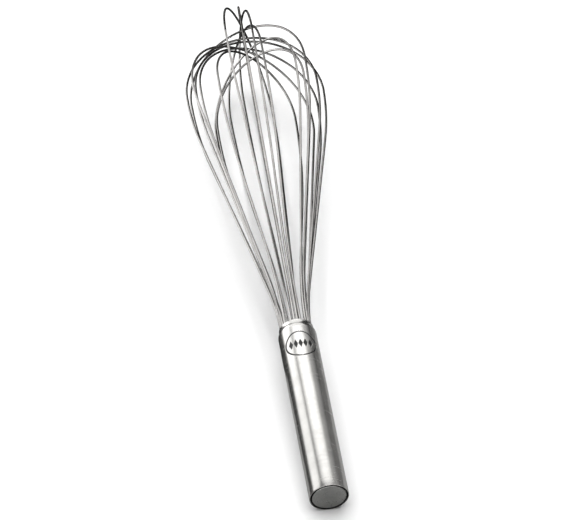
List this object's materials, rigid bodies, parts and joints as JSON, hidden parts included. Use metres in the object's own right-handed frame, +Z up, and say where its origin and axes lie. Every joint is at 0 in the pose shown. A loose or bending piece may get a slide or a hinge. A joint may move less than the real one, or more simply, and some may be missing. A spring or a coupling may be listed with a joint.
{
  "type": "balloon whisk",
  "caption": "Balloon whisk: a closed tubular steel handle with a pressed end cap and a cage of crossing round wire loops for beating and whipping.",
  "frame": {"origin": "on the surface the whisk lies on, under the middle of its bounding box", "axes": "+Z up; +Y runs from the butt of the handle towards the crown of the cage; +X to the right of the handle as seen from above with the crown away from the viewer"},
  "size_m": [0.0862, 0.384, 0.0833],
  "materials": {
    "handle_steel": "fine brushed stainless steel",
    "cap_steel": "satin stainless steel, darker than the tube",
    "wire_steel": "bright drawn stainless wire",
    "plug": "dark matt filler plug",
    "resin": "dark cured sealing resin"
  },
  "bodies": {
    "root": {"handle_tube": "handle_steel", "end_cap": "cap_steel", "core_plug": "plug", "resin_seal": "resin", "wire_loop_01": "wire_steel", "wire_loop_02": "wire_steel", "wire_loop_03": "wire_steel", "wire_loop_04": "wire_steel", "wire_loop_05": "wire_steel", "wire_loop_06": "wire_steel", "wire_loop_07": "wire_steel", "wire_loop_08": "wire_steel", "wire_loop_09": "wire_steel", "wire_loop_10": "wire_steel", "wire_loop_11": "wire_steel", "wire_loop_12": "wire_steel"}
  },
  "joints": []
}
